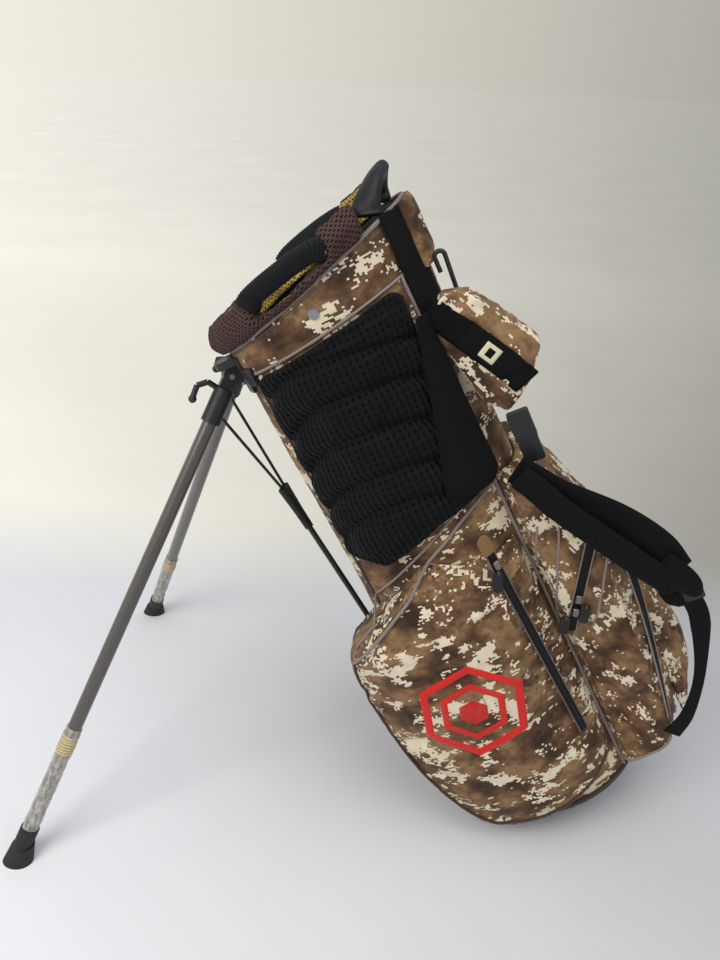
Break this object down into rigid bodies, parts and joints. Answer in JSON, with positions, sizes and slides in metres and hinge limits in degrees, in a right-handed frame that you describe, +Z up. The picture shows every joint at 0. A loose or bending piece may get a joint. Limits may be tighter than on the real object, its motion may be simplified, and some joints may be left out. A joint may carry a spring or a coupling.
{
  "type": "golf stand bag",
  "caption": "Leaning golf stand bag with folding legs, rocker foot, rod and wires, divided mouth, zippered pockets, hip pad and shoulder strap.",
  "frame": {"origin": "middle of the flat sole of the rocker foot, on the ground", "axes": "+Z up, +X from the legs towards the bag's spine, -Y the side with the hip pad"},
  "size_m": [0.8934, 0.5676, 0.8466],
  "materials": {
    "camo": "printed woven polyester",
    "band_camo": "printed woven polyester",
    "black_mesh": "black spacer mesh over foam",
    "brown_mesh": "brown spacer mesh over foam",
    "black_webbing": "black woven webbing",
    "divider_cloth": "black lining cloth",
    "zipper_black": "coated zipper tape",
    "black_plastic": "moulded, satin",
    "rubber_black": "moulded rubber",
    "leg_carbon": "carbon weave under clear coat",
    "wrap_film": "clear film over the tube with paper tape",
    "steel": "zinc plated",
    "rod_black": "black coated spring steel",
    "brass": "aged brass",
    "stay_fibre": "fibreglass rod",
    "zinc": "die cast zinc"
  },
  "bodies": {
    "bag": {"back_handle": "black_plastic", "ball_pocket": "camo", "ball_pocket_outer": "camo", "ball_zipper": "zipper_black", "base_tray": "black_plastic", "bracket_screws": "steel", "buckle_plug": "black_plastic", "buckle_socket": "black_plastic", "club_divider": "divider_cloth", "corner_buckle": "black_plastic", "cuff_pad": "brown_mesh", "far_panel": "camo", "front_panel": "camo", "hip_pad": "black_mesh", "hood_snaps": "steel", "ladder_lock": "black_plastic", "leg_bracket": "black_plastic", "leg_pins": "steel", "lift_handle_far": "rubber_black", "lift_handle_near": "rubber_black", "mouth_frame": "black_plastic", "near_panel": "camo", "rocker_pin": "steel", "shoulder_pad": "camo", "side_pocket_far": "camo", "side_pocket_near": "camo", "side_zipper_far": "zipper_black", "side_zipper_near": "zipper_black", "spine_panel": "camo", "spine_strap": "black_webbing", "stay_rods": "stay_fibre", "strap_hook": "rod_black", "strap_loop": "black_webbing", "strap_tail": "black_webbing", "top_band": "band_camo", "top_pocket": "camo", "vent_eyelets": "brass", "webbing_loop": "black_webbing"},
    "rocker": {"rocker_foot": "black_plastic"},
    "rod": {"stand_rod": "rod_black", "yoke_sleeve": "black_plastic"},
    "wire_near_body": {"wire_near": "rod_black"},
    "wire_far_body": {"wire_far": "rod_black"},
    "leg_near": {"leg_head_near": "black_plastic", "leg_tube_near": "leg_carbon", "leg_wrap_near": "wrap_film", "boot_near": "rubber_black"},
    "leg_far": {"leg_head_far": "black_plastic", "leg_tube_far": "leg_carbon", "leg_wrap_far": "wrap_film", "boot_far": "rubber_black"},
    "near_slider": {"side_slider_near": "zinc"},
    "near_tag": {"side_tag_near": "rubber_black"},
    "far_slider": {"side_slider_far": "zinc"},
    "far_tag": {"side_tag_far": "rubber_black"},
    "upper_slider": {"ball_slider_upper": "zinc"},
    "upper_tag": {"ball_tag_upper": "rubber_black"},
    "lower_slider": {"ball_slider_lower": "zinc"},
    "lower_tag": {"ball_tag_lower": "rubber_black"}
  },
  "joints": [
    {"name": "leg_near_fold", "type": "hinge", "parent": "bag", "child": "leg_near", "pos_m": [-0.37334, -0.031, 0.60675], "axis": [0.3766, -0.9041, 0.2019], "range_deg": [0, 50.8]},
    {"name": "leg_far_fold", "type": "hinge", "parent": "bag", "child": "leg_far", "pos_m": [-0.37334, 0.031, 0.60675], "axis": [-0.3766, -0.9041, -0.2019], "range_deg": [0, 50.8]},
    {"name": "rocker_tilt", "type": "hinge", "parent": "bag", "child": "rocker", "pos_m": [0.03, 0, 0.009], "axis": [0, -1, 0], "range_deg": [0, 28.21]},
    {"name": "rod_swing", "type": "hinge", "parent": "rocker", "child": "rod", "pos_m": [-0.022, 0, 0.012], "axis": [0, -1, 0], "range_deg": [-31.62, 0]},
    {"name": "wire_near_swing", "type": "hinge", "parent": "rod", "child": "wire_near_body", "pos_m": [-0.3155, -0.005, 0.44385], "axis": [-0.828, 0.0211, -0.5604], "range_deg": [0, 6.05]},
    {"name": "wire_far_swing", "type": "hinge", "parent": "rod", "child": "wire_far_body", "pos_m": [-0.3155, 0.005, 0.44385], "axis": [0.828, 0.0211, 0.5604], "range_deg": [0, 6.05]},
    {"name": "near_slider_slide", "type": "slide", "parent": "bag", "child": "near_slider", "axis": [0.51, 0.0298, -0.8597], "range_m": [0, 0.27]},
    {"name": "near_tag_lift", "type": "hinge", "parent": "near_slider", "child": "near_tag", "pos_m": [-0.03747, -0.13614, 0.42917], "axis": [-0.8562, -0.5167, 0], "range_deg": [0, 110]},
    {"name": "far_slider_slide", "type": "slide", "parent": "bag", "child": "far_slider", "axis": [0.51, -0.0298, -0.8597], "range_m": [0, 0.27]},
    {"name": "far_tag_lift", "type": "hinge", "parent": "far_slider", "child": "far_tag", "pos_m": [-0.03747, 0.13614, 0.42917], "axis": [0.8562, -0.5167, 0], "range_deg": [0, 110]},
    {"name": "upper_slider_slide", "type": "slide", "parent": "bag", "child": "upper_slider", "axis": [0.0127, 0, 0.9999], "range_m": [0, 0.055]},
    {"name": "upper_tag_lift", "type": "hinge", "parent": "upper_slider", "child": "upper_tag", "pos_m": [0.08185, -0.0927, 0.36299], "axis": [-1, 0, 0], "range_deg": [0, 110]},
    {"name": "lower_slider_slide", "type": "slide", "parent": "bag", "child": "lower_slider", "axis": [0.0127, 0, 0.9999], "range_m": [0, 0.0065]},
    {"name": "lower_tag_lift", "type": "hinge", "parent": "lower_slider", "child": "lower_tag", "pos_m": [0.0606, -0.0927, 0.34299], "axis": [-1, 0, 0], "range_deg": [0, 110]}
  ],
  "couplings": [
    {"joint": "leg_far_fold", "follows": "leg_near_fold", "ratio": 1},
    {"joint": "rocker_tilt", "follows": "leg_near_fold", "ratio": 0.55512},
    {"joint": "rod_swing", "follows": "leg_near_fold", "ratio": -0.62244},
    {"joint": "wire_near_swing", "follows": "leg_near_fold", "ratio": 0.11907},
    {"joint": "wire_far_swing", "follows": "leg_near_fold", "ratio": 0.11907}
  ]
}
